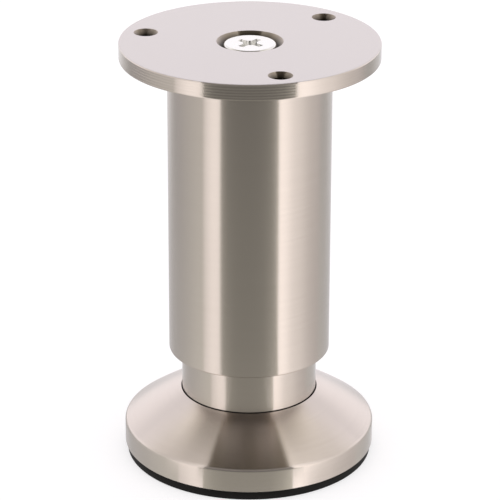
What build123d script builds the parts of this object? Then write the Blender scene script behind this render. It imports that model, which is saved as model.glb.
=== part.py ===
import os
from math import cos, radians, tan

from build123d import *

os.makedirs("parts", exist_ok=True)

# Adjustable cabinet leg, in millimetres. It stands on its pad on the XY plane,
# with its axis on Z. A fixing plate is screwed to a tube, and a foot with a
# neck sleeve screws in and out of the tube to set the height.

# Heights of the leg as it stands, screwed part of the way out
pad_height = 2.9
foot_height = 21.0
extension = 13.8
tube_length = 95.0
plate_thickness = 5.0

# Fixing plate
plate_diameter = 79.0
plate_edge = 0.35
screw_circle = 65.0
screw_hole = 4.5
screw_hole_sink = 7.4
screw_hole_turn = 45.8
screw_hole_count = 3
centre_sink = 20.2
centre_hole = 10.4
sink_angle = 90.0

# Outer tube and the discs fixed inside it
tube_diameter = 50.0
tube_wall = 1.5
tube_edge = 0.5
disc_thickness = 5.0
disc_mouth_lead = 0.3
guide_recess = 0.5
guide_edge = 0.4
press_gap = 0.02

# Neck sleeve, its cap and its travel
sleeve_diameter = 42.0
sleeve_wall = 1.5
sleeve_edge = 0.3
sleeve_length = 34.0
slide_gap = 0.1
cap_thickness = 3.0
cap_spigot = 5.0
cap_lead = 0.5
cap_gap = 0.5
spigot_gap = 0.05
travel_up = 13.5
travel_down = 6.0
stop_gap = 0.3
nut_gap = 0.5

# Foot
foot_diameter = 78.2
foot_ledge = 0.3
foot_corner_height = 10.4
foot_shoulder = 1.5
foot_vault_drop = 1.75
foot_crown = 110.0
foot_wall = 3.2
foot_rim_wall = 3.5
foot_edge = 0.3
foot_spigot = 3.0
foot_spigot_wall = 3.0
hub_diameter = 26.0
hub_depth = 3.8

# Pad that snaps into the foot from below
pad_diameter = 76.8
pad_hollow = 0.8
pad_hollow_diameter = 56.0
pad_edge = 0.5
snap_gap = 0.3
snap_wall = 2.2
snap_height = 4.4
snap_bead = 1.0
snap_bead_height = 1.6
snap_lead = 0.6

# Countersunk screw that holds the plate
m8_thread = 8.0
m8_length = 20.0
m8_head = 16.1
m8_head_edge = 1.45
m8_head_round = 0.8
m8_point = 1.0
recess_width = 8.9
recess_slot = 1.9
recess_core = 4.2
recess_depth = 4.6
recess_flank = 26.5
recess_turn = 50.0

# Spindle: a hexagon bolt through the foot, with its washer
m10_thread = 10.0
m10_head_flats = 17.0
m10_head_height = 6.4
m10_point = 1.2
spindle_end = 1.0
spindle_hole_gap = 0.5
washer_diameter = 20.0
washer_thickness = 2.0

# Hexagon nuts
m8_nut_flats = 13.0
m8_nut_height = 6.5
m10_nut_flats = 17.0
m10_nut_height = 8.0
thin_nut_height = 5.0
thread_gap = 0.05
nut_bevel_angle = 30.0

# Levels from the floor up
tube_base = foot_height + extension
plate_base = tube_base + tube_length
plate_top = plate_base + plate_thickness
sleeve_top = foot_height + sleeve_length
guide_base = tube_base + guide_recess
guide_top = sleeve_top - travel_down - stop_gap
cap_top = sleeve_top + cap_thickness
thin_nut_top = cap_top + thin_nut_height
spindle_nut_base = thin_nut_top + travel_up + nut_gap
spindle_nut_top = spindle_nut_base + m10_nut_height
spindle_top = spindle_nut_top + travel_down + spindle_end
foot_ceiling = foot_height - foot_wall
hub_base = foot_ceiling - hub_depth
washer_base = hub_base - washer_thickness
snap_top = pad_height + snap_height
snap_bead_base = snap_top - snap_bead_height

# Radii that more than one piece shares
tube_bore = tube_diameter / 2 - tube_wall
pressed_radius = tube_bore - press_gap
sleeve_radius = sleeve_diameter / 2
sleeve_bore = sleeve_radius - sleeve_wall
spigot_radius = sleeve_bore - spigot_gap
foot_radius = foot_diameter / 2
rim_bore = foot_radius - foot_rim_wall
spindle_hole = m10_thread / 2 + spindle_hole_gap
m8_bore = m8_thread / 2 + thread_gap
m10_bore = m10_thread / 2 + thread_gap

# The screw head sits where its cone meets the cone of the plate's hole, and
# the tip of that cone reaches into the disc under the plate
sink_slope = tan(radians(sink_angle / 2))
head_seat = plate_top - (centre_sink - m8_head) / 2 / sink_slope + press_gap
head_top = head_seat + m8_head_edge
disc_mouth = max(centre_sink / 2 - plate_thickness * sink_slope, m8_bore + disc_mouth_lead)


def hexagon(base, flats, height, bore=0.0):
    """Nut or bolt head with bevelled corners, its thread taken as a plain bore."""
    corner = flats / 2 / cos(radians(30))
    bevel = (corner - flats / 2) * tan(radians(nut_bevel_angle))
    with BuildPart() as prism:
        with BuildSketch(Plane.XY.offset(base)):
            RegularPolygon(flats / 2, 6, major_radius=False)
            if bore:
                Circle(bore, mode=Mode.SUBTRACT)
        extrude(amount=height)
        with BuildSketch(Plane.XZ):
            with BuildLine():
                Polyline(
                    (0, base), (flats / 2, base), (corner, base + bevel),
                    (corner, base + height - bevel), (flats / 2, base + height),
                    (0, base + height), close=True,
                )
            make_face()
        revolve(axis=Axis.Z, mode=Mode.INTERSECT)
    return prism.part


# Fixing plate, turned from flat steel, with sunk screw holes
with BuildPart() as mounting_plate:
    with BuildSketch(Plane.XY.offset(plate_base)):
        Circle(plate_diameter / 2)
    extrude(amount=plate_thickness)
    chamfer(mounting_plate.edges().filter_by(GeomType.CIRCLE), plate_edge)
    with Locations((0, 0, plate_top)):
        CounterSinkHole(centre_hole / 2, centre_sink / 2, counter_sink_angle=sink_angle)
        with PolarLocations(screw_circle / 2, screw_hole_count, start_angle=screw_hole_turn):
            CounterSinkHole(screw_hole / 2, screw_hole_sink / 2, counter_sink_angle=sink_angle)
mounting_plate.part.label = "mounting_plate"
export_step(mounting_plate.part, "parts/mounting_plate.step")

# Cross recess of the plate screw, as the solid that is cut away
with BuildPart() as cross_recess:
    with BuildSketch(Plane.XY.offset(head_top)):
        Rectangle(recess_width, recess_slot, rotation=recess_turn)
        Rectangle(recess_slot, recess_width, rotation=recess_turn)
        Circle(recess_core / 2)
    extrude(amount=-recess_depth)
    with BuildSketch(Plane.XY.offset(head_top)):
        Circle(recess_width / 2)
    extrude(amount=-recess_depth, taper=recess_flank, mode=Mode.INTERSECT)

# Countersunk screw that holds the plate to the tube
with BuildPart() as plate_screw:
    with BuildSketch(Plane.XZ):
        with BuildLine():
            Polyline(
                (0, head_top), (m8_head / 2, head_top), (m8_head / 2, head_seat),
                (m8_thread / 2, head_seat - (m8_head - m8_thread) / 2 / sink_slope),
                (m8_thread / 2, head_top - m8_length + m8_point),
                (m8_thread / 2 - m8_point, head_top - m8_length),
                (0, head_top - m8_length), close=True,
            )
        make_face()
    revolve(axis=Axis.Z)
    fillet(plate_screw.edges().group_by(Axis.Z)[-1], m8_head_round)
    add(cross_recess.part, mode=Mode.SUBTRACT)
plate_screw.part.label = "plate_screw"
export_step(plate_screw.part, "parts/plate_screw.step")

# Outer tube, with its lower rim rounded
with BuildPart() as outer_tube:
    with BuildSketch(Plane.XY.offset(tube_base)):
        Circle(tube_diameter / 2)
    extrude(amount=tube_length)
    fillet(outer_tube.edges().group_by(Axis.Z)[0], tube_edge)
    with BuildSketch(Plane.XY.offset(tube_base)):
        Circle(tube_bore)
    extrude(amount=tube_length, mode=Mode.SUBTRACT)
outer_tube.part.label = "outer_tube"
export_step(outer_tube.part, "parts/outer_tube.step")

# Disc welded into the top of the tube, under the plate
with BuildPart() as top_disc:
    with BuildSketch(Plane.XY.offset(plate_base)):
        Circle(pressed_radius)
    extrude(amount=-disc_thickness)
    with Locations((0, 0, plate_base)):
        CounterSinkHole(m8_bore, disc_mouth + press_gap, counter_sink_angle=sink_angle)
top_disc.part.label = "top_disc"
export_step(top_disc.part, "parts/top_disc.step")

# Weld nut under the top disc, which takes the plate screw
top_nut = hexagon(plate_base - disc_thickness - m8_nut_height, m8_nut_flats, m8_nut_height, m8_bore)
top_nut.label = "top_nut"
export_step(top_nut, "parts/top_nut.step")

# Disc welded into the tube above the spindle nut, which carries the load
with BuildPart() as nut_disc:
    with BuildSketch(Plane.XY.offset(spindle_nut_top)):
        Circle(pressed_radius)
        Circle(spindle_hole, mode=Mode.SUBTRACT)
    extrude(amount=disc_thickness)
nut_disc.part.label = "nut_disc"
export_step(nut_disc.part, "parts/nut_disc.step")

# Weld nut that the spindle turns in
spindle_nut = hexagon(spindle_nut_base, m10_nut_flats, m10_nut_height, m10_bore)
spindle_nut.label = "spindle_nut"
export_step(spindle_nut, "parts/spindle_nut.step")

# Moulded bush in the mouth of the tube, which guides the sleeve
with BuildPart() as guide_bush:
    with BuildSketch(Plane.XY.offset(guide_base)):
        Circle(pressed_radius)
        Circle(sleeve_radius + slide_gap, mode=Mode.SUBTRACT)
    extrude(amount=guide_top - guide_base)
    chamfer(guide_bush.edges().filter_by(GeomType.CIRCLE), guide_edge)
guide_bush.part.label = "guide_bush"
export_step(guide_bush.part, "parts/guide_bush.step")

# Neck sleeve between the foot and the tube
with BuildPart() as sleeve:
    with BuildSketch(Plane.XY.offset(foot_height)):
        Circle(sleeve_radius)
        Circle(sleeve_bore, mode=Mode.SUBTRACT)
    extrude(amount=sleeve_length)
    chamfer(sleeve.edges().filter_by(GeomType.CIRCLE), sleeve_edge)
sleeve.part.label = "sleeve"
export_step(sleeve.part, "parts/sleeve.step")

# Cap on the sleeve: it centres the spindle, and its rim stops at the bush
with BuildPart() as sleeve_cap:
    with BuildSketch(Plane.XY.offset(sleeve_top)):
        Circle(tube_bore - cap_gap)
    extrude(amount=cap_thickness)
    with BuildSketch(Plane.XY.offset(sleeve_top)):
        Circle(spigot_radius)
    extrude(amount=-cap_spigot)
    chamfer(sleeve_cap.edges().group_by(Axis.Z)[0], cap_lead)
    with Locations((0, 0, sleeve_top)):
        Hole(spindle_hole)
sleeve_cap.part.label = "sleeve_cap"
export_step(sleeve_cap.part, "parts/sleeve_cap.step")

# Thin nut that clamps the cap, the sleeve and the foot together
cap_nut = hexagon(cap_top, m10_nut_flats, thin_nut_height, m10_bore)
cap_nut.label = "cap_nut"
export_step(cap_nut, "parts/cap_nut.step")

# Foot: a crowned hollow disc with a rounded shoulder, a spigot inside the
# sleeve, a hub for the spindle and a groove for the bead of the pad
with BuildPart() as foot_disc:
    with BuildSketch(Plane.XZ) as foot_profile:
        with BuildLine():
            crown = RadiusArc(
                (sleeve_radius + foot_ledge, foot_height), (foot_radius, foot_corner_height), foot_crown
            )
            Polyline(crown @ 1, (foot_radius, pad_height), (0, pad_height), (0, foot_height), crown @ 0)
        make_face()
        fillet(foot_profile.vertices().group_by(Axis.X)[-1].sort_by(Axis.Y)[-1], foot_shoulder)
    revolve(axis=Axis.Z)
    chamfer(foot_disc.edges().group_by(Axis.Z)[0], foot_edge)
    with BuildSketch(Plane.XZ):
        with BuildLine():
            vault = RadiusArc(
                (spigot_radius, foot_ceiling), (rim_bore, foot_corner_height - foot_vault_drop), foot_crown
            )
            Polyline(vault @ 1, (rim_bore, pad_height), (0, pad_height), (0, foot_ceiling), vault @ 0)
        make_face()
    revolve(axis=Axis.Z, mode=Mode.SUBTRACT)
    with BuildSketch(Plane.XY.offset(hub_base)):
        Circle(hub_diameter / 2)
    extrude(amount=hub_depth)
    with BuildSketch(Plane.XY.offset(foot_height)):
        Circle(spigot_radius)
        Circle(spigot_radius - foot_spigot_wall, mode=Mode.SUBTRACT)
    extrude(amount=foot_spigot)
    with BuildSketch(Plane.XY.offset(snap_bead_base - snap_gap)):
        Circle(rim_bore + snap_bead)
        Circle(spigot_radius, mode=Mode.SUBTRACT)
    extrude(amount=snap_bead_height + 2 * snap_gap, mode=Mode.SUBTRACT)
    with Locations((0, 0, foot_height)):
        Hole(spindle_hole)
foot_disc.part.label = "foot_disc"
export_step(foot_disc.part, "parts/foot_disc.step")

# Spindle: a hexagon bolt that stands up through the foot and the sleeve
with BuildPart() as spindle:
    with BuildSketch(Plane.XY.offset(washer_base)):
        Circle(m10_thread / 2)
    extrude(amount=spindle_top - washer_base)
    chamfer(spindle.edges().group_by(Axis.Z)[-1], m10_point)
    add(hexagon(washer_base - m10_head_height, m10_head_flats, m10_head_height))
spindle.part.label = "spindle"
export_step(spindle.part, "parts/spindle.step")

# Washer between the head of the spindle and the hub of the foot
with BuildPart() as spindle_washer:
    with BuildSketch(Plane.XY.offset(washer_base)):
        Circle(washer_diameter / 2)
        Circle(spindle_hole, mode=Mode.SUBTRACT)
    extrude(amount=washer_thickness)
spindle_washer.part.label = "spindle_washer"
export_step(spindle_washer.part, "parts/spindle_washer.step")

# Pad: a moulded disc with a ring that snaps into the groove of the foot, so
# that the foot can be turned while the pad stays still on the floor
with BuildPart() as pad:
    with BuildSketch(Plane.XY):
        Circle(pad_diameter / 2)
    extrude(amount=pad_height)
    fillet(pad.edges().group_by(Axis.Z)[0], pad_edge)
    with BuildSketch(Plane.XY):
        Circle(pad_hollow_diameter / 2)
    extrude(amount=pad_hollow, mode=Mode.SUBTRACT)
    with BuildSketch(Plane.XY.offset(pad_height)):
        Circle(rim_bore - snap_gap)
    extrude(amount=snap_height)
    with BuildSketch(Plane.XY.offset(snap_bead_base)):
        Circle(rim_bore - snap_gap + snap_bead)
    extrude(amount=snap_bead_height)
    chamfer(pad.edges().group_by(Axis.Z)[-1], snap_lead)
    with BuildSketch(Plane.XY.offset(pad_height)):
        Circle(rim_bore - snap_gap - snap_wall)
    extrude(amount=snap_height, mode=Mode.SUBTRACT)
pad.part.label = "pad"
export_step(pad.part, "parts/pad.step")
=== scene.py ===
from math import cos, pi, radians, sin, sqrt, tan

import bpy
from mathutils import Matrix, Vector


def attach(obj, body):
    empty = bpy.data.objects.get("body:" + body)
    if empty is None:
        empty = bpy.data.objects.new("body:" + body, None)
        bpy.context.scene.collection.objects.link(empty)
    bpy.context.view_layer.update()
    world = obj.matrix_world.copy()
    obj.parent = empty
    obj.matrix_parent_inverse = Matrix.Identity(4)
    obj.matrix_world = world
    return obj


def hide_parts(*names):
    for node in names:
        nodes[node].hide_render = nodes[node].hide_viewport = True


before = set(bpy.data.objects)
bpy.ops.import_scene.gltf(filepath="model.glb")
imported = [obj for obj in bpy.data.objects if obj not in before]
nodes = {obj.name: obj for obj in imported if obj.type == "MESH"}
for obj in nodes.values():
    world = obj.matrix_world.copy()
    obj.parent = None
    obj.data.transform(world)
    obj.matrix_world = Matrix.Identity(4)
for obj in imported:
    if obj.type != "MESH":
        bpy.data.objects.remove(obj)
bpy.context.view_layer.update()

print("stage 1: frame loaded,", len(nodes), "nodes")

scene = bpy.context.scene
scene.view_settings.view_transform = "Standard"


# A material starts empty, with its output placed
def newMaterial(name):
    material = bpy.data.materials.new(name)
    material.use_nodes = True
    tree = material.node_tree
    tree.nodes.clear()
    output = tree.nodes.new("ShaderNodeOutputMaterial")
    output.location = (700, 0)
    return material, tree, output


def addNode(tree, kind, place, **settings):
    node = tree.nodes.new(kind)
    node.location = place
    for key, value in settings.items():
        setattr(node, key, value)
    return node


def mathNode(tree, operation, place, *terms):
    node = addNode(tree, "ShaderNodeMath", place, operation=operation)
    for socket, term in zip(node.inputs, terms):
        if isinstance(term, (int, float)):
            socket.default_value = term
        else:
            tree.links.new(term, socket)
    return node.outputs[0]


# The shader that all surfaces share: one mask blends the shade into the tint, one roughens
# the surface from its lowest roughness up, and one stands up as a fine bump
def addShader(tree, output, look, tintMask, roughMask, bumpMask):
    shader = addNode(tree, "ShaderNodeBsdfPrincipled", (400, 0))
    shader.inputs["Metallic"].default_value = look["metal"]
    shader.inputs["Specular IOR Level"].default_value = look["gloss"]
    mix = addNode(tree, "ShaderNodeMix", (100, 200), data_type="RGBA")
    mix.inputs["A"].default_value = (*look["shade"], 1)
    mix.inputs["B"].default_value = (*look["tint"], 1)
    tree.links.new(tintMask, mix.inputs["Factor"])
    tree.links.new(mix.outputs["Result"], shader.inputs["Base Color"])
    rough = mathNode(tree, "MULTIPLY_ADD", (100, -50), roughMask, look["roughSpread"], look["rough"])
    tree.links.new(rough, shader.inputs["Roughness"])
    bump = addNode(tree, "ShaderNodeBump", (100, -200))
    bump.inputs["Strength"].default_value = look["bump"]
    bump.inputs["Distance"].default_value = look["bumpDepth"]
    tree.links.new(bumpMask, bump.inputs["Height"])
    tree.links.new(bump.outputs[0], shader.inputs["Normal"])
    tree.links.new(shader.outputs[0], output.inputs["Surface"])
    return shader, mix


# How finely each kind of noise is broken up, and the rate of the broad lines as a share of the
# fine ones
noiseDetail = {"lines": 2.0, "smudge": 3.0, "plain": 4.0}
broadShare = 0.12


# Fine lines that run round the axis of the leg, as a turning or belt finish leaves them.
# Lines vary quickly along the profile (height less radius) and slowly round the axis.
def makeTurnedGrain():
    group = bpy.data.node_groups.new("turnedGrain", "ShaderNodeTree")
    for name in ("Lines per metre", "Drift per metre", "Smudge size"):
        group.interface.new_socket(name=name, in_out="INPUT", socket_type="NodeSocketFloat")
    for name in ("Lines", "Broad lines", "Smudge"):
        group.interface.new_socket(name=name, in_out="OUTPUT", socket_type="NodeSocketFloat")
    inside = addNode(group, "NodeGroupInput", (-1100, 0))
    outside = addNode(group, "NodeGroupOutput", (500, 0))
    where = addNode(group, "ShaderNodeTexCoord", (-1100, 300))
    parts = addNode(group, "ShaderNodeSeparateXYZ", (-900, 300))
    group.links.new(where.outputs["Object"], parts.inputs[0])
    x, y, z = parts.outputs
    xSquare = mathNode(group, "MULTIPLY", (-750, 500), x, x)
    ySquare = mathNode(group, "MULTIPLY", (-750, 350), y, y)
    squares = mathNode(group, "ADD", (-600, 450), xSquare, ySquare)
    across = mathNode(group, "SQRT", (-500, 450), squares)
    profile = mathNode(group, "SUBTRACT", (-400, 350), z, across)
    drift, lines = inside.outputs["Drift per metre"], inside.outputs["Lines per metre"]

    def streaks(share, left, level):
        slow = mathNode(group, "MULTIPLY", (left - 200, level + 100), drift, share)
        quick = mathNode(group, "MULTIPLY", (left - 200, level - 100), lines, share)
        joined = addNode(group, "ShaderNodeCombineXYZ", (left, level))
        for k, (distance, rate) in enumerate(((x, slow), (y, slow), (profile, quick))):
            scaled = mathNode(group, "MULTIPLY", (left - 100, level + 100 - 100 * k), distance, rate)
            group.links.new(scaled, joined.inputs[k])
        noise = addNode(group, "ShaderNodeTexNoise", (left + 150, level))
        noise.inputs["Scale"].default_value = 1.0
        noise.inputs["Detail"].default_value = noiseDetail["lines"]
        group.links.new(joined.outputs[0], noise.inputs["Vector"])
        return noise.outputs["Fac"]

    group.links.new(streaks(1.0, -200, 200), outside.inputs["Lines"])
    group.links.new(streaks(broadShare, -200, -100), outside.inputs["Broad lines"])
    smudge = addNode(group, "ShaderNodeTexNoise", (0, -400))
    smudge.inputs["Detail"].default_value = noiseDetail["smudge"]
    group.links.new(where.outputs["Object"], smudge.inputs["Vector"])
    group.links.new(inside.outputs["Smudge size"], smudge.inputs["Scale"])
    group.links.new(smudge.outputs["Fac"], outside.inputs["Smudge"])
    return group


turnedGrain = makeTurnedGrain()


# Satin nickel: the lines tint it a little and stand up as a fine bump, and faint smudges roughen it
def satinNickel(name, look):
    material, tree, output = newMaterial(name)
    grain = addNode(tree, "ShaderNodeGroup", (-900, 0), node_tree=turnedGrain)
    grain.inputs["Lines per metre"].default_value = look["linesPerMetre"]
    grain.inputs["Drift per metre"].default_value = look["driftPerMetre"]
    grain.inputs["Smudge size"].default_value = look["smudgeSize"]
    lines = grain.outputs["Lines"]
    broad = mathNode(tree, "MULTIPLY", (-500, 50), grain.outputs["Broad lines"], 0.5)
    bothLines = mathNode(tree, "MULTIPLY_ADD", (-400, 200), lines, 0.5, broad)
    shader, mix = addShader(tree, output, look, bothLines, grain.outputs["Smudge"], lines)
    shader.inputs["Anisotropic"].default_value = look["anisotropy"]
    shader.inputs["Anisotropic Rotation"].default_value = look["turn"]
    tangent = addNode(tree, "ShaderNodeTangent", (100, -400), direction_type="RADIAL", axis="Z")
    tree.links.new(tangent.outputs[0], shader.inputs["Tangent"])
    if "paintedShadeDepth" in look:  # painted shade: the colour darkens from the mouth of a hole downwards, towards near black
        where = addNode(tree, "ShaderNodeTexCoord", (-900, 500))
        height = addNode(tree, "ShaderNodeSeparateXYZ", (-700, 500))
        tree.links.new(where.outputs["Object"], height.inputs[0])
        paintedShadeFade = addNode(tree, "ShaderNodeMapRange", (-500, 500))
        paintedShadeFade.inputs["From Min"].default_value = look["mouth"] - look["paintedShadeDepth"]
        paintedShadeFade.inputs["From Max"].default_value = look["mouth"]
        tree.links.new(height.outputs[2], paintedShadeFade.inputs["Value"])
        paintedShadeMix = addNode(tree, "ShaderNodeMix", (250, 350), data_type="RGBA")
        paintedShadeMix.inputs["A"].default_value = (*look["paintedShadeColour"], 1)
        tree.links.new(paintedShadeFade.outputs[0], paintedShadeMix.inputs["Factor"])
        tree.links.new(mix.outputs["Result"], paintedShadeMix.inputs["B"])
        tree.links.new(paintedShadeMix.outputs["Result"], shader.inputs["Base Color"])
    return material


nickel = {
    "metal": 1.0, "gloss": 0.5, "shade": (0.70, 0.635, 0.58), "tint": (0.78, 0.715, 0.66),
    "rough": 0.20, "roughSpread": 0.02, "anisotropy": 1.0, "turn": 0.25,
    "linesPerMetre": 9000.0, "driftPerMetre": 60.0, "smudgeSize": 30.0,
    "bump": 0.15, "bumpDepth": 0.00001,
}
for name in ("outer_tube", "sleeve"):
    nodes[name].material_slots[0].material = satinNickel(name + "Nickel", nickel)


# A surface without brushing, whose one fine grain tints it, roughens it and stands up
def plainMaterial(name, look):
    material, tree, output = newMaterial(name)
    where = addNode(tree, "ShaderNodeTexCoord", (-700, 0))
    noise = addNode(tree, "ShaderNodeTexNoise", (-500, 0))
    noise.inputs["Scale"].default_value = look["grainSize"]
    noise.inputs["Detail"].default_value = noiseDetail["plain"]
    tree.links.new(where.outputs["Object"], noise.inputs["Vector"])
    grain = noise.outputs["Fac"]
    addShader(tree, output, look, grain, grain, grain)
    return material


plainLooks = {
    "brightZinc": {
        "pieces": ("plate_screw", "cap_nut", "spindle", "spindle_washer"),
        "metal": 1.0, "gloss": 0.5, "shade": (0.92, 0.92, 0.90), "tint": (0.97, 0.97, 0.95),
        "rough": 0.14, "roughSpread": 0.08, "grainSize": 900.0, "bump": 0.08, "bumpDepth": 0.00002,
    },
    "millSteel": {
        "pieces": ("top_disc", "top_nut", "nut_disc", "spindle_nut"),
        "metal": 1.0, "gloss": 0.5, "shade": (0.40, 0.39, 0.38), "tint": (0.55, 0.54, 0.52),
        "rough": 0.35, "roughSpread": 0.25, "grainSize": 400.0, "bump": 0.2, "bumpDepth": 0.00005,
    },
    "blackNylon": {
        "pieces": ("guide_bush", "sleeve_cap"),
        "metal": 0.0, "gloss": 0.5, "shade": (0.012, 0.012, 0.012), "tint": (0.022, 0.021, 0.020),
        "rough": 0.45, "roughSpread": 0.15, "grainSize": 1500.0, "bump": 0.2, "bumpDepth": 0.00003,
    },
    "padPlastic": {
        "pieces": ("pad",),
        "metal": 0.0, "gloss": 0.22, "shade": (0.003, 0.0025, 0.002), "tint": (0.007, 0.006, 0.004),
        "rough": 0.6, "roughSpread": 0.15, "grainSize": 1500.0, "bump": 0.25, "bumpDepth": 0.00003,
    },
}
for name, look in plainLooks.items():
    material = plainMaterial(name, look)
    for piece in look["pieces"]:
        nodes[piece].material_slots[0].material = material
print("stage 2: materials")

# Points closer than a hair count as one height or one radius, and bends under the smooth angle
# shade as round
hair = 0.000002
smoothAngle = radians(30)


def pickPiece(piece):
    bpy.ops.object.select_all(action="DESELECT")
    piece.select_set(True)
    bpy.context.view_layer.objects.active = piece


# Makes a piece the active one, with none of its mesh selected
def startEdit(piece):
    pickPiece(piece)
    bpy.ops.object.mode_set(mode="EDIT")
    bpy.ops.mesh.select_all(action="DESELECT")
    bpy.ops.object.mode_set(mode="OBJECT")


# Cuts a ring of edges into a piece at one height
def cutLevel(piece, height):
    startEdit(piece)
    bpy.ops.object.mode_set(mode="EDIT")
    bpy.ops.mesh.select_all(action="SELECT")
    bpy.ops.mesh.bisect(plane_co=(0, 0, height), plane_no=(0, 0, 1))
    bpy.ops.object.mode_set(mode="OBJECT")


# Widens or narrows the ring of points at one height
def scaleLevel(piece, height, factor):
    startEdit(piece)
    for point in piece.data.vertices:
        point.select = abs(point.co.z - height) < hair
    bpy.ops.object.mode_set(mode="EDIT")
    bpy.ops.transform.resize(value=(factor, factor, 1), center_override=(0, 0, height))
    bpy.ops.object.mode_set(mode="OBJECT")


def addCylinder(name, sides, radius, low, high):
    bpy.ops.object.select_all(action="DESELECT")
    bpy.ops.mesh.primitive_cylinder_add(vertices=sides, radius=radius, depth=high - low,
                                        location=(0, 0, (low + high) / 2))
    piece = bpy.context.object
    piece.name = name
    pickPiece(piece)
    bpy.ops.object.transform_apply(location=True, rotation=True, scale=True)
    return piece


# The fixing plate: fine turned grooves round its rim, bevelled edges and turned sinks, darkened with painted
# shade
plate = {
    "radius": 0.0395, "base": 0.1298, "top": 0.1348, "sides": 192,
    "edge": 0.00035, "edgeSteps": 2, "rimBand": 0.00042, "flatNormal": 0.9,
    "grooves": 5, "grooveDepth": 0.00003, "landShare": 0.3,
    "screwCircle": 0.0325, "screwTurns": (45.8, 165.8, 285.8),
    "screwHole": 0.00225, "screwSink": 0.0037, "centreHole": 0.0052, "centreSink": 0.0101,
    "holeSides": 64, "proud": 0.001,
    "finishes": {
        "face": dict(nickel, anisotropy=0.0, rough=0.24, shade=(0.66, 0.625, 0.61), tint=(0.70, 0.665, 0.65)),
        "rim": dict(nickel, rough=0.16),
        # The sinks' darker, browner shade and tint are painted shade of the recess, and the near-black colour
        # with depth is painted shade
        "sink": dict(nickel, rough=0.29, shade=(0.30, 0.25, 0.20), tint=(0.62, 0.56, 0.48),
                     linesPerMetre=3500.0, mouth=0.1348, paintedShadeDepth=0.0016, paintedShadeColour=(0.03, 0.025, 0.02)),
    },
}
plateMaterials = {part: satinNickel("plate" + part.capitalize() + "Nickel", look)
                  for part, look in plate["finishes"].items()}
plateSlots = {part: k for k, part in enumerate(plate["finishes"])}


# A drill that leaves a straight hole with a 90 degree sink, its cutting faces in the sink's finish
def makeDrill(name, hole, sink):
    low, high = plate["base"] - plate["proud"], plate["top"] + plate["proud"]
    drill = addCylinder(name, plate["holeSides"], hole, low, high)
    drill.data.materials.append(plateMaterials["sink"])
    cutLevel(drill, plate["top"] - (sink - hole))
    scaleLevel(drill, high, (sink + plate["proud"]) / hole)
    return drill


def makePlate():
    piece = addCylinder("fixingPlate", plate["sides"], plate["radius"], plate["base"], plate["top"])
    for material in plateMaterials.values():
        piece.data.materials.append(material)
    pitch = (plate["top"] - plate["base"] - 2 * plate["edge"]) / plate["grooves"]
    for k in range(plate["grooves"]):  # each groove: a land, then a ring drawn in between two cuts
        low = plate["base"] + plate["edge"] + pitch * k
        cuts = [low + pitch * share for share in (plate["landShare"] / 2, 0.5, 1 - plate["landShare"] / 2)]
        for height in cuts:
            cutLevel(piece, height)
        scaleLevel(piece, cuts[1], 1 - plate["grooveDepth"] / plate["radius"])
    startEdit(piece)
    for edge in piece.data.edges:
        heights = [piece.data.vertices[k].co.z for k in edge.vertices]
        edge.select = min(heights) > plate["top"] - hair or max(heights) < plate["base"] + hair
    bpy.ops.object.mode_set(mode="EDIT")
    bpy.ops.mesh.select_mode(type="EDGE")
    bpy.ops.mesh.bevel(offset=plate["edge"], segments=plate["edgeSteps"], affect="EDGES")
    bpy.ops.mesh.select_mode(type="VERT")
    bpy.ops.object.mode_set(mode="OBJECT")

    drills = [makeDrill("centreDrill", plate["centreHole"], plate["centreSink"])]
    screwDrill = makeDrill("screwDrill", plate["screwHole"], plate["screwSink"])
    for turn in plate["screwTurns"]:
        drill = screwDrill.copy()
        drill.data = screwDrill.data.copy()
        scene.collection.objects.link(drill)
        reach, bearing = plate["screwCircle"], radians(turn)
        drill.location = (reach * cos(bearing), reach * sin(bearing), 0)
        drills.append(drill)
    bpy.context.view_layer.update()
    pickPiece(piece)
    for drill in drills:
        cut = piece.modifiers.new(drill.name, "BOOLEAN")
        cut.operation = "DIFFERENCE"
        cut.solver = "EXACT"
        cut.material_mode = "TRANSFER"
        cut.object = drill
        bpy.ops.object.modifier_apply(modifier=cut.name)
    for drill in drills + [screwDrill]:
        bpy.data.objects.remove(drill)
    for face in piece.data.polygons:
        if piece.data.materials[face.material_index] == plateMaterials["sink"]:
            continue
        inBand = face.center.xy.length > plate["radius"] - plate["rimBand"]
        onRim = inBand and abs(face.normal.z) < plate["flatNormal"]
        face.material_index = plateSlots["rim" if onRim else "face"]
    bpy.ops.object.shade_smooth_by_angle(angle=smoothAngle)
    level = piece.modifiers.new("levelFaces", "WEIGHTED_NORMAL")  # the bevels leave the flat faces flat
    level.keep_sharp = True
    bpy.ops.object.modifier_apply(modifier=level.name)
    return piece


platePiece = makePlate()
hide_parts("mounting_plate")
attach(platePiece, "leg")
print("stage 3: fixing plate,", len(platePiece.data.polygons), "faces")

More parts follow.
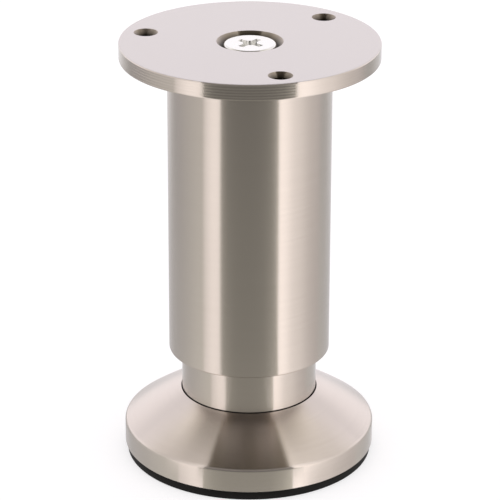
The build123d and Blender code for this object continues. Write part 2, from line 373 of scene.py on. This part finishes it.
# The foot: its section in metres (radius, height), as the solid has it, but with its underside
# 0.02 mm clear of the pad and a groove round the sleeve, near black as painted shade where the
# sleeve meets the foot. The crown and the hollow under it are arcs, and the shoulder is rounded.
foot = {
    "steps": 240, "crownRadius": 0.11, "crownSteps": 20, "shoulder": 0.0015, "shoulderSteps": 12,
    "crown": ((0.02135, 0.021), (0.0391, 0.0104)), "vault": ((0.0356, 0.00865), (0.01945, 0.0178)),
    "rim": ((0.0391, 0.0032), (0.0388, 0.00292), (0.0356, 0.00292), (0.0356, 0.0054), (0.0366, 0.0054),
            (0.0366, 0.0076), (0.0356, 0.0076)),
    "hub": ((0.013, 0.0178), (0.013, 0.014), (0.0055, 0.014), (0.0055, 0.021), (0.01645, 0.021),
            (0.01645, 0.024), (0.01945, 0.024), (0.01945, 0.021)),
    "groove": ((0.0206, 0.021), (0.0208, 0.0206), (0.0212, 0.0206)), "grooveMargin": 0.0001,
    # Near black and without metal: painted shade in the groove where the sleeve meets the foot
    "joint": {
        "metal": 0.0, "gloss": 0.2, "shade": (0.006, 0.005, 0.004), "tint": (0.02, 0.016, 0.012),
        "rough": 0.6, "roughSpread": 0.2, "grainSize": 900.0, "bump": 0.2, "bumpDepth": 0.00003,
    },
}


# Points of an arc between two spots, its hollow side facing the axis below it
def arcPoints(start, end, radius, steps):
    first, last = Vector((start[0], 0, start[1])), Vector((end[0], 0, end[1]))
    chord = last - first
    across = Vector((chord.z, 0, -chord.x)).normalized()
    if across.z > 0:
        across.negate()
    centre = (first + last) / 2 + across * sqrt(radius ** 2 - (chord.length / 2) ** 2)
    begin, finish = first - centre, last - centre
    return [centre + begin.slerp(finish, k / steps).normalized() * radius for k in range(steps + 1)]


def footSection():
    groove, rim, hub = ([Vector((radius, 0, height)) for radius, height in foot[part]]
                        for part in ("groove", "rim", "hub"))
    crown = arcPoints(*foot["crown"], foot["crownRadius"], foot["crownSteps"])
    slope = (crown[-2] - crown[-1]).normalized()
    down = Vector((0, 0, -1))
    reach = foot["shoulder"] / tan(slope.angle(down) / 2)  # where the shoulder's round meets both sides
    top, side = crown[-1] + slope * reach, crown[-1] + down * reach
    shoulder = arcPoints((top.x, top.z), (side.x, side.z), foot["shoulder"], foot["shoulderSteps"])
    vault = arcPoints(*foot["vault"], foot["crownRadius"], foot["crownSteps"])
    return groove + [spot for spot in crown if spot.x < top.x] + shoulder + rim + vault + hub


# Whether a point lies on the ring that a spot of the section is turned into
def onRing(point, spot):
    return abs(point.xy.length - spot.x) < hair and abs(point.z - spot.z) < hair


# Joins the first and the last ring of a turned section, and makes all faces point outwards
def closeSection(piece, first, last):
    startEdit(piece)
    bpy.ops.object.mode_set(mode="EDIT")
    bpy.ops.mesh.select_all(action="SELECT")
    bpy.ops.mesh.remove_doubles(threshold=hair / 2)
    bpy.ops.object.mode_set(mode="OBJECT")
    startEdit(piece)
    for edge in piece.data.edges:
        ends = [piece.data.vertices[k].co for k in edge.vertices]
        edge.select = any(all(onRing(end, spot) for end in ends) for spot in (first, last))
    bpy.ops.object.mode_set(mode="EDIT")
    bpy.ops.mesh.select_mode(type="EDGE")
    bpy.ops.mesh.bridge_edge_loops()
    bpy.ops.mesh.select_mode(type="VERT")
    bpy.ops.mesh.select_all(action="SELECT")
    bpy.ops.mesh.normals_make_consistent(inside=False)
    bpy.ops.object.mode_set(mode="OBJECT")


# One point is drawn out along the section, and the line it leaves is turned round the axis
def makeFoot():
    bpy.ops.object.select_all(action="DESELECT")
    spots = footSection()
    bpy.ops.mesh.primitive_plane_add(size=foot["shoulder"], location=(0, 0, 0))
    piece = bpy.context.object
    piece.name = "crownedFoot"
    bpy.ops.object.mode_set(mode="EDIT")
    bpy.ops.mesh.select_all(action="SELECT")
    bpy.ops.mesh.merge(type="CENTER")
    bpy.ops.transform.translate(value=spots[0])
    for last, spot in zip(spots, spots[1:]):
        bpy.ops.mesh.extrude_region_move(TRANSFORM_OT_translate={"value": spot - last})
    bpy.ops.mesh.select_all(action="SELECT")
    bpy.ops.mesh.spin(steps=foot["steps"], angle=2 * pi, center=(0, 0, 0), axis=(0, 0, 1))
    bpy.ops.object.mode_set(mode="OBJECT")
    closeSection(piece, spots[0], spots[-1])
    for material in (satinNickel("footNickel", nickel), plainMaterial("footJointShade", foot["joint"])):
        piece.data.materials.append(material)
    inner, outer = foot["groove"][0][0] - foot["grooveMargin"], foot["crown"][0][0]
    bottom = foot["groove"][1][1] - foot["grooveMargin"]
    # The groove's faces take the near-black painted shade
    for face in piece.data.polygons:
        inGroove = inner < face.center.xy.length < outer and face.center.z > bottom
        face.material_index = 1 if inGroove else 0
    pickPiece(piece)
    bpy.ops.object.transform_apply(location=True, rotation=True, scale=True)
    bpy.ops.object.shade_smooth_by_angle(angle=smoothAngle)
    return piece


footPiece = makeFoot()
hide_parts("foot_disc")
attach(footPiece, "foot")
print("stage 4: foot,", len(footPiece.data.polygons), "faces")

# The camera, in metres and degrees
view = {
    "place": (0, -0.7866, 0.3979), "aim": (0.0002, 0, 0.06685), "roll": 0.182,
    "lens": 198.71, "sensor": 36.0, "near": 0.05, "far": 20.0,
}

# The studio. The floor and the room behind it show white, and cards that the
# camera does not see give the metal its dark, grey and bright bands.
studio = {
    "centre": (0, 0, 0.07), "cameraTilt": 22.8,
    "cardGap": 0.001, "cardReach": 0.5,
    "floorSize": 6.0, "floorColour": 0.55, "floorGlow": 0.62,
    "roomLight": 1.15, "roomTint": (1.0, 0.96, 0.995),
    "roomFade": ((0.0, 1.0), (0.35, 0.92), (0.5, 0.78), (0.6, 0.76), (0.76, 0.70), (0.9, 0.60), (1.0, 0.4)),
}


# The camera and the metal's reflections see the floor glow, but it lights nothing
def floorMaterial():
    material, tree, output = newMaterial("studioFloor")
    rays = addNode(tree, "ShaderNodeLightPath", (-500, 200)).outputs
    direct = mathNode(tree, "MAXIMUM", (-350, 200), rays["Is Camera Ray"], rays["Is Glossy Ray"])
    seen = mathNode(tree, "MAXIMUM", (-250, 200), direct, rays["Is Transmission Ray"])
    strength = mathNode(tree, "MULTIPLY", (-100, 200), seen, studio["floorGlow"])
    matt = addNode(tree, "ShaderNodeBsdfDiffuse", (100, -100))
    matt.inputs["Color"].default_value = (studio["floorColour"],) * 3 + (1,)
    glow = addNode(tree, "ShaderNodeEmission", (100, 100))
    tree.links.new(strength, glow.inputs["Strength"])
    total = addNode(tree, "ShaderNodeAddShader", (400, 0))
    tree.links.new(matt.outputs[0], total.inputs[0])
    tree.links.new(glow.outputs[0], total.inputs[1])
    tree.links.new(total.outputs[0], output.inputs["Surface"])
    return material


bpy.ops.object.select_all(action="DESELECT")
bpy.ops.mesh.primitive_plane_add(size=studio["floorSize"], location=(0, 0, 0))
floor = bpy.context.object
floor.name = "studioFloor"
floor.data.materials.append(floorMaterial())

# The round walls that the floor cards are laid out for, from the foot's rim up to the plate's:
# which tones they take, radius, height, turns where the dark band ends at the left and the right,
# and how bright the dark, the soft and the grey cards are there. The top of the tube takes the
# plate's tones.
wallColumns = ("tones", "radius", "height", "left", "right", "dark", "soft", "grey")
walls = (
    ("rim", 0.0391, 0.0015, -21.0, 20.2, 0.37, 1.03, 1.0),
    ("rim", 0.0391, 0.0104, -21.0, 20.2, 0.37, 1.03, 1.0),
    ("sleeve", 0.021, 0.021, -19.55, 21.05, 0.335, 1.11, 1.10),
    ("sleeve", 0.021, 0.0345, -19.55, 21.05, 0.325, 1.11, 1.10),
    ("tube", 0.025, 0.0355, -20.35, 20.25, 0.265, 1.0, 1.0),
    ("tube", 0.025, 0.08, -20.5, 20.5, 0.262, 1.04, 1.0),
    ("plate", 0.025, 0.1295, -21.35, 21.4, 0.25, 1.03, 0.90),
    ("plate", 0.0395, 0.13, -19.45, 19.35, 0.135, 1.10, 1.0),
    ("plate", 0.0395, 0.1345, -19.45, 19.35, 0.135, 1.12, 1.0),
    ("plate", 0.0395, 0.2, -19.45, 19.35, 0.135, 1.06, 1.0),
)


# Value at a share of the way along evenly spaced stops
def between(stops, share):
    if len(stops) == 1:
        return stops[0]
    spot = share * (len(stops) - 1)
    low = min(int(spot), len(stops) - 2)
    return stops[low] + (stops[low + 1] - stops[low]) * (spot - low)


def outwardAt(turn):
    return Vector((sin(radians(turn)), -cos(radians(turn)), 0))


# Spot on the floor that a round wall mirrors to the camera
def mirrorSpot(radius, height, turn):
    outward = outwardAt(turn)
    spot = outward * radius + Vector((0, 0, height))
    toEye = (Vector(view["place"]) - spot).normalized()
    ray = outward * 2 * outward.dot(toEye) - toEye
    return spot + ray * (studio["cardGap"] - height) / ray.z


# Direction in which a wall turned `turn` degrees from the camera mirrors it, when its
# brushing tilts the mirror by `lift` degrees from straight out
def fanDirection(turn, lift):
    side = cos(radians(studio["cameraTilt"])) * sin(radians(turn))
    along = Vector((cos(radians(turn)), sin(radians(turn)), 0))
    tilted = outwardAt(turn) * cos(radians(lift)) + Vector((0, 0, 1)) * sin(radians(lift))
    return along * side + tilted * sqrt(1 - side * side)


# The room's own glow in one direction, which a standing card fades into at its outer end
def roomGlow(direction):
    height = min(max(direction.normalized().z, 0), 1)
    stops = studio["roomFade"]
    for (low, lowTone), (high, highTone) in zip(stops, stops[1:]):
        if height <= high:
            tone = lowTone + (highTone - lowTone) * (height - low) / (high - low)
            break
    return [channel * tone * studio["roomLight"] for channel in studio["roomTint"]]


# A point of a floor card, which spans from turn to turn of the walls above, and its colour
def floorPoint(card, tint, across, along):
    wall = {column: between([row[k] for row in walls], along)
            for k, column in enumerate(wallColumns) if column != "tones"}
    tones = [between(card["tones"].get(row[0], card["tones"]["tube"]), across) for row in walls]
    start, end = (wall.get(turn, turn) for turn in card["span"])
    tone = between(tones, along) * wall[card["gain"]]
    colour = [channel * tone for channel in tint]
    return mirrorSpot(wall["radius"], wall["height"], start + (end - start) * across), colour


# A point of a standing card, whose rows give lift, outer turn, inner turn and gain, and which
# fades into the room's glow over a share of its width
def standingPoint(card, tint, across, along):
    lift, outer, inner, gain = (between(column, along) for column in zip(*card["rows"]))
    direction = fanDirection(outer + (inner - outer) * across, lift)
    share = min(across / card["fade"], 1) if card["fade"] else 1
    tone = between(card["tones"], across) * gain * share
    colour = [channel * tone + far * (1 - share) for channel, far in zip(tint, roomGlow(direction))]
    return Vector(studio["centre"]) + direction * studio["cardReach"], colour


def cardMaterial(name):
    material, tree, output = newMaterial(name)
    tone = addNode(tree, "ShaderNodeAttribute", (0, 0), attribute_name="glow")
    glow = addNode(tree, "ShaderNodeEmission", (300, 0))
    tree.links.new(tone.outputs["Color"], glow.inputs["Color"])
    tree.links.new(glow.outputs[0], output.inputs["Surface"])
    return material


# A card is a sheet whose glow is set point by point, and which only mirrors see
def addCard(name, card):
    bpy.ops.object.select_all(action="DESELECT")
    cardPoint, rows = (floorPoint, walls) if "span" in card else (standingPoint, card["rows"])
    bpy.ops.mesh.primitive_grid_add(x_subdivisions=card["columns"],
                                    y_subdivisions=card["steps"] * (len(rows) - 1), size=2)
    sheet = bpy.context.object
    sheet.name = name
    glow = sheet.data.color_attributes.new("glow", "FLOAT_COLOR", "POINT")
    for point in sheet.data.vertices:
        across, along = (point.co.x + 1) / 2, (point.co.y + 1) / 2
        tint = [between(channel, across) for channel in zip(*card["tint"])]
        point.co, colour = cardPoint(card, tint, across, along)
        glow.data[point.index].color = (*colour, 1)
    sheet.data.materials.append(cardMaterial(name))
    sheet.visible_camera = False
    sheet.visible_shadow = False
    sheet.visible_diffuse = False


# Tints from one end of a card to the other, or one for the whole card
dusk, shade, soft = ((1.0, 0.985, 0.89),), ((1.03, 0.84, 0.57),), ((1.0, 0.95, 0.93),)
leftGrey, rightGrey = ((1.0, 1.0, 1.05), (1.0, 0.985, 0.92)), ((1.0, 1.0, 0.97), (1.0, 1.0, 1.07))
ceiling = ((1.0, 0.96, 0.98), (1.0, 0.94, 0.88), (1.0, 0.925, 0.80), (1.0, 0.92, 0.77))
greyLeft, softRight = -33.5, 58  # turns where the grey cards take over from the soft ones
bandLeft, bandRight = -20.2, 20.2  # turns where the dark band ends on the standing cards
cards = {
    "darkFloorCard": {
        "span": ("left", "right"), "gain": "dark", "columns": 32, "steps": 3, "tint": dusk,
        "tones": {
            "tube": (1.45, 1.12, 1.0, 0.98, 0.98, 1.0, 1.05, 1.3, 1.9),
            "plate": (2.5, 1.02, 0.98, 0.97, 0.98, 1.0, 1.15, 1.45, 3.6),
        },
    },
    "leftSoftFloorCard": {
        "span": (greyLeft, "left"), "gain": "soft", "columns": 16, "steps": 3, "tint": soft,
        "tones": {
            "tube": (0.80, 0.94, 1.06, 1.05, 0.97),
            "rim": (0.78, 0.88, 1.0, 1.05, 1.0),
            "plate": (0.70, 1.03, 1.22, 1.21, 1.05),
        },
    },
    "leftGreyFloorCard": {
        "span": (-89, greyLeft), "gain": "grey", "columns": 32, "steps": 3, "tint": leftGrey,
        "tones": {
            "tube": (0.843, 0.69, 0.57, 0.49, 0.456, 0.465, 0.52, 0.59, 0.633),
            "rim": (0.84, 0.676, 0.583, 0.528, 0.519, 0.504, 0.55, 0.592, 0.621),
            "plate": (1.01, 0.86, 0.78, 0.555, 0.345, 0.311, 0.425, 0.50, 0.523),
        },
    },
    "rightSoftFloorCard": {
        "span": ("right", softRight), "gain": "soft", "columns": 36, "steps": 3, "tint": soft,
        "tones": {
            "tube": (1.24, 1.27, 1.18, 1.01, 0.91, 0.865, 0.815, 0.735, 0.66, 0.61, 0.57, 0.53, 0.51),
            "rim": (1.28, 1.33, 1.15, 0.93, 0.83, 0.78, 0.75, 0.70, 0.64, 0.615, 0.594, 0.565, 0.556),
            "plate": (1.14, 1.27, 1.25, 1.11, 0.99, 0.92, 0.84, 0.73, 0.645, 0.575, 0.515, 0.445, 0.37),
        },
    },
    "rightGreyFloorCard": {
        "span": (softRight, 89), "gain": "grey", "columns": 20, "steps": 3, "tint": rightGrey,
        "tones": {
            "tube": (0.535, 0.51, 0.545, 0.60, 0.75, 0.95),
            "rim": (0.60, 0.558, 0.582, 0.68, 0.90, 1.2),
            "plate": (0.405, 0.458, 0.607, 0.725, 0.886, 1.08),
        },
    },
    "frontStandingCard": {
        "columns": 8, "steps": 6, "tint": soft, "tones": (1.0, 0.9, 1.0), "fade": 0,
        "rows": (
            (-8, bandLeft, bandRight, 0.115), (6, bandLeft, bandRight, 0.115),
            (17, bandLeft, bandRight, 0.34), (36, bandLeft, bandRight, 0.34), (46, bandLeft, bandRight, 0.22),
        ),
    },
    "darkStandingCard": {
        "columns": 32, "steps": 6, "tint": shade, "fade": 0,
        "tones": (1.45, 1.12, 0.71, 0.71, 1.0, 0.99, 0.88, 1.5, 2.1),
        "rows": (
            (46, bandLeft, bandRight, 0.22), (54, bandLeft, bandRight, 0.035),
            (72, bandLeft, bandRight, 0.04), (82, bandLeft, bandRight, 0.108),
            (90, bandLeft, bandRight, 0.09), (98, bandLeft, bandRight, 0.066),
            (112, bandLeft, bandRight, 0.06),
        ),
    },
    "leftSoftStandingCard": {
        "columns": 24, "steps": 6, "tint": soft, "fade": 0.33,
        "tones": (0.9, 0.80, 0.68, 0.60, 0.62, 0.72, 0.85),
        "rows": ((-8, -62, bandLeft, 1.3), (30, -62, bandLeft, 1.2), (76, -62, bandLeft, 1.15)),
    },
    "leftCeilingCard": {
        "columns": 24, "steps": 6, "tint": ceiling, "fade": 0.33,
        "tones": (1.0, 1.0, 0.97, 0.635, 0.32, 0.26, 0.30),
        "rows": (
            (76, -62, bandLeft, 1.24), (88, -60, bandLeft, 1.14), (95, -58, bandLeft, 0.98),
            (99, -56, bandLeft, 0.95), (112, -50, bandLeft, 1.7),
        ),
    },
    "rightSoftStandingCard": {
        "columns": 24, "steps": 6, "tint": soft, "fade": 0.33,
        "tones": (0.9, 0.80, 0.70, 0.68, 0.76, 0.90, 1.1),
        "rows": ((-8, 62, bandRight, 1.3), (30, 62, bandRight, 1.2), (76, 62, bandRight, 1.15)),
    },
    "rightCeilingCard": {
        "columns": 24, "steps": 6, "tint": ceiling, "fade": 0.33,
        "tones": (0.88, 0.88, 0.90, 0.73, 0.54, 0.40, 0.56),
        "rows": (
            (76, 62, bandRight, 1.22), (88, 60, bandRight, 1.12), (98, 56, bandRight, 0.96),
            (112, 50, bandRight, 1.6),
        ),
    },
}
for name, card in cards.items():
    addCard(name, card)


# The room's glow fades with height
def makeRoom():
    world = bpy.data.worlds.new("studioRoom")
    scene.world = world
    world.use_nodes = True
    tree = world.node_tree
    room = tree.nodes["Background"]
    room.inputs["Color"].default_value = (*studio["roomTint"], 1)
    facing = addNode(tree, "ShaderNodeTexCoord", (-900, 0))
    parts = addNode(tree, "ShaderNodeSeparateXYZ", (-700, 0))
    tree.links.new(facing.outputs["Generated"], parts.inputs[0])
    fade = addNode(tree, "ShaderNodeFloatCurve", (-500, 0))
    curve = fade.mapping.curves[0]
    for point, stop in zip(curve.points, studio["roomFade"]):  # a new curve has two points
        point.location = stop
    for stop in studio["roomFade"][2:]:
        curve.points.new(*stop)
    fade.mapping.update()
    tree.links.new(parts.outputs[2], fade.inputs["Value"])
    strength = mathNode(tree, "MULTIPLY", (-200, 0), fade.outputs[0], studio["roomLight"])
    tree.links.new(strength, room.inputs["Strength"])


makeRoom()
print("stage 5: studio")


def makeCamera():
    cameraData = bpy.data.cameras.new("camera")
    cameraData.lens = view["lens"]
    cameraData.sensor_width = view["sensor"]
    cameraData.clip_start = view["near"]
    cameraData.clip_end = view["far"]
    camera = bpy.data.objects.new("camera", cameraData)
    scene.collection.objects.link(camera)
    sight = Vector(view["aim"]) - Vector(view["place"])
    camera.matrix_world = (
        Matrix.Translation(view["place"])
        @ sight.to_track_quat("-Z", "Y").to_matrix().to_4x4()
        @ Matrix.Rotation(radians(view["roll"]), 4, "Z")
    )
    scene.camera = camera


makeCamera()
print("stage 6: camera")
